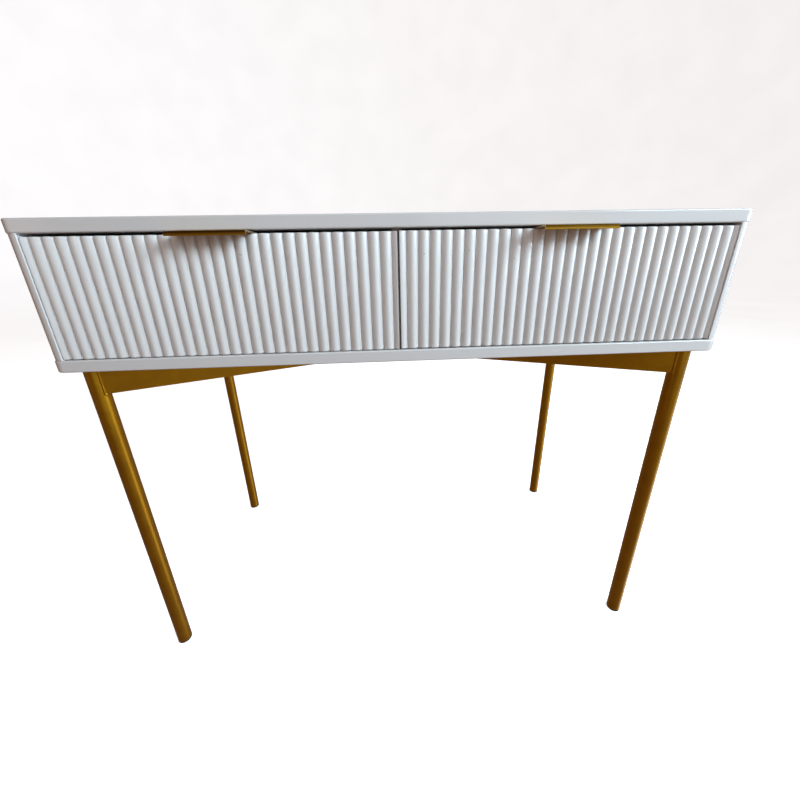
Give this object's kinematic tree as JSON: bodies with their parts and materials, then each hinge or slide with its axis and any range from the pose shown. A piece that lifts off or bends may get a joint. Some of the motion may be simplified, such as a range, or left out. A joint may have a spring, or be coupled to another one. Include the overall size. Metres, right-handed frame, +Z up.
{
  "type": "dressing table",
  "caption": "White dressing table with reeded drawers that slide out on telescopic runners, gold edge pulls and round gold legs joined by crossed bars.",
  "frame": {"origin": "on the floor, midway between the table's ends and midway between the pulls' lips and the carcass's rear edge", "axes": "+Z up, +X along the table's length to the right seen from the front, the drawers open towards -Y"},
  "size_m": [1.02, 0.488, 0.8],
  "materials": {
    "white_lacquer": "gloss white lacquer on board",
    "white_melamine": "matt white melamine on board",
    "white_hardboard": "painted hardboard",
    "dowel_beech": "bare beech",
    "gold_anodised": "satin gold anodised",
    "gold_paint": "satin gold paint on steel tube",
    "slide_steel": "zinc plated",
    "fastener_steel": "zinc plated",
    "glide_plastic": "matt black"
  },
  "bodies": {
    "carcass": {"back_panel": "white_hardboard", "back_panel_pins": "fastener_steel", "bottom_panel": "white_lacquer", "carcass_dowels": "dowel_beech", "centre_divider": "white_lacquer", "cross_bar_front_right": "gold_paint", "cross_bar_long": "gold_paint", "cross_bar_rear_left": "gold_paint", "glide_front_left": "glide_plastic", "glide_front_right": "glide_plastic", "glide_rear_left": "glide_plastic", "glide_rear_right": "glide_plastic", "leg_front_left": "gold_paint", "leg_front_right": "gold_paint", "leg_rear_left": "gold_paint", "leg_rear_right": "gold_paint", "leg_welds": "gold_paint", "mounting_tabs": "gold_paint", "side_panel_left": "white_lacquer", "side_panel_right": "white_lacquer", "slide_outer_left_drawer_left": "slide_steel", "slide_outer_left_drawer_right": "slide_steel", "slide_outer_right_drawer_left": "slide_steel", "slide_outer_right_drawer_right": "slide_steel", "slide_screws_carcass": "fastener_steel", "tab_screws": "fastener_steel", "top_panel": "white_lacquer"},
    "drawer_left": {"drawer_left_back": "white_melamine", "drawer_left_dowels": "dowel_beech", "drawer_left_floor": "white_hardboard", "drawer_left_front": "white_lacquer", "drawer_left_pull": "gold_anodised", "drawer_left_pull_screws": "fastener_steel", "drawer_left_side_left": "white_melamine", "drawer_left_side_right": "white_melamine", "drawer_left_slide_screws": "fastener_steel", "slide_inner_left_drawer_left": "slide_steel", "slide_inner_left_drawer_right": "slide_steel"},
    "drawer_right": {"drawer_right_back": "white_melamine", "drawer_right_dowels": "dowel_beech", "drawer_right_floor": "white_hardboard", "drawer_right_front": "white_lacquer", "drawer_right_pull": "gold_anodised", "drawer_right_pull_screws": "fastener_steel", "drawer_right_side_left": "white_melamine", "drawer_right_side_right": "white_melamine", "drawer_right_slide_screws": "fastener_steel", "slide_inner_right_drawer_left": "slide_steel", "slide_inner_right_drawer_right": "slide_steel"},
    "runner_left_drawer_left": {"slide_middle_left_drawer_left": "slide_steel"},
    "runner_left_drawer_right": {"slide_middle_left_drawer_right": "slide_steel"},
    "runner_right_drawer_left": {"slide_middle_right_drawer_left": "slide_steel"},
    "runner_right_drawer_right": {"slide_middle_right_drawer_right": "slide_steel"}
  },
  "joints": [
    {"name": "drawer_left_slide", "type": "slide", "parent": "carcass", "child": "drawer_left", "axis": [0, -1, 0], "range_m": [0, 0.34]},
    {"name": "runner_left_drawer_left_slide", "type": "slide", "parent": "carcass", "child": "runner_left_drawer_left", "axis": [0, -1, 0], "range_m": [0, 0.17]},
    {"name": "runner_left_drawer_right_slide", "type": "slide", "parent": "carcass", "child": "runner_left_drawer_right", "axis": [0, -1, 0], "range_m": [0, 0.17]},
    {"name": "drawer_right_slide", "type": "slide", "parent": "carcass", "child": "drawer_right", "axis": [0, -1, 0], "range_m": [0, 0.34]},
    {"name": "runner_right_drawer_left_slide", "type": "slide", "parent": "carcass", "child": "runner_right_drawer_left", "axis": [0, -1, 0], "range_m": [0, 0.17]},
    {"name": "runner_right_drawer_right_slide", "type": "slide", "parent": "carcass", "child": "runner_right_drawer_right", "axis": [0, -1, 0], "range_m": [0, 0.17]}
  ],
  "couplings": [
    {"joint": "runner_left_drawer_left_slide", "follows": "drawer_left_slide", "ratio": 0.5},
    {"joint": "runner_left_drawer_right_slide", "follows": "drawer_left_slide", "ratio": 0.5},
    {"joint": "runner_right_drawer_left_slide", "follows": "drawer_right_slide", "ratio": 0.5},
    {"joint": "runner_right_drawer_right_slide", "follows": "drawer_right_slide", "ratio": 0.5}
  ]
}
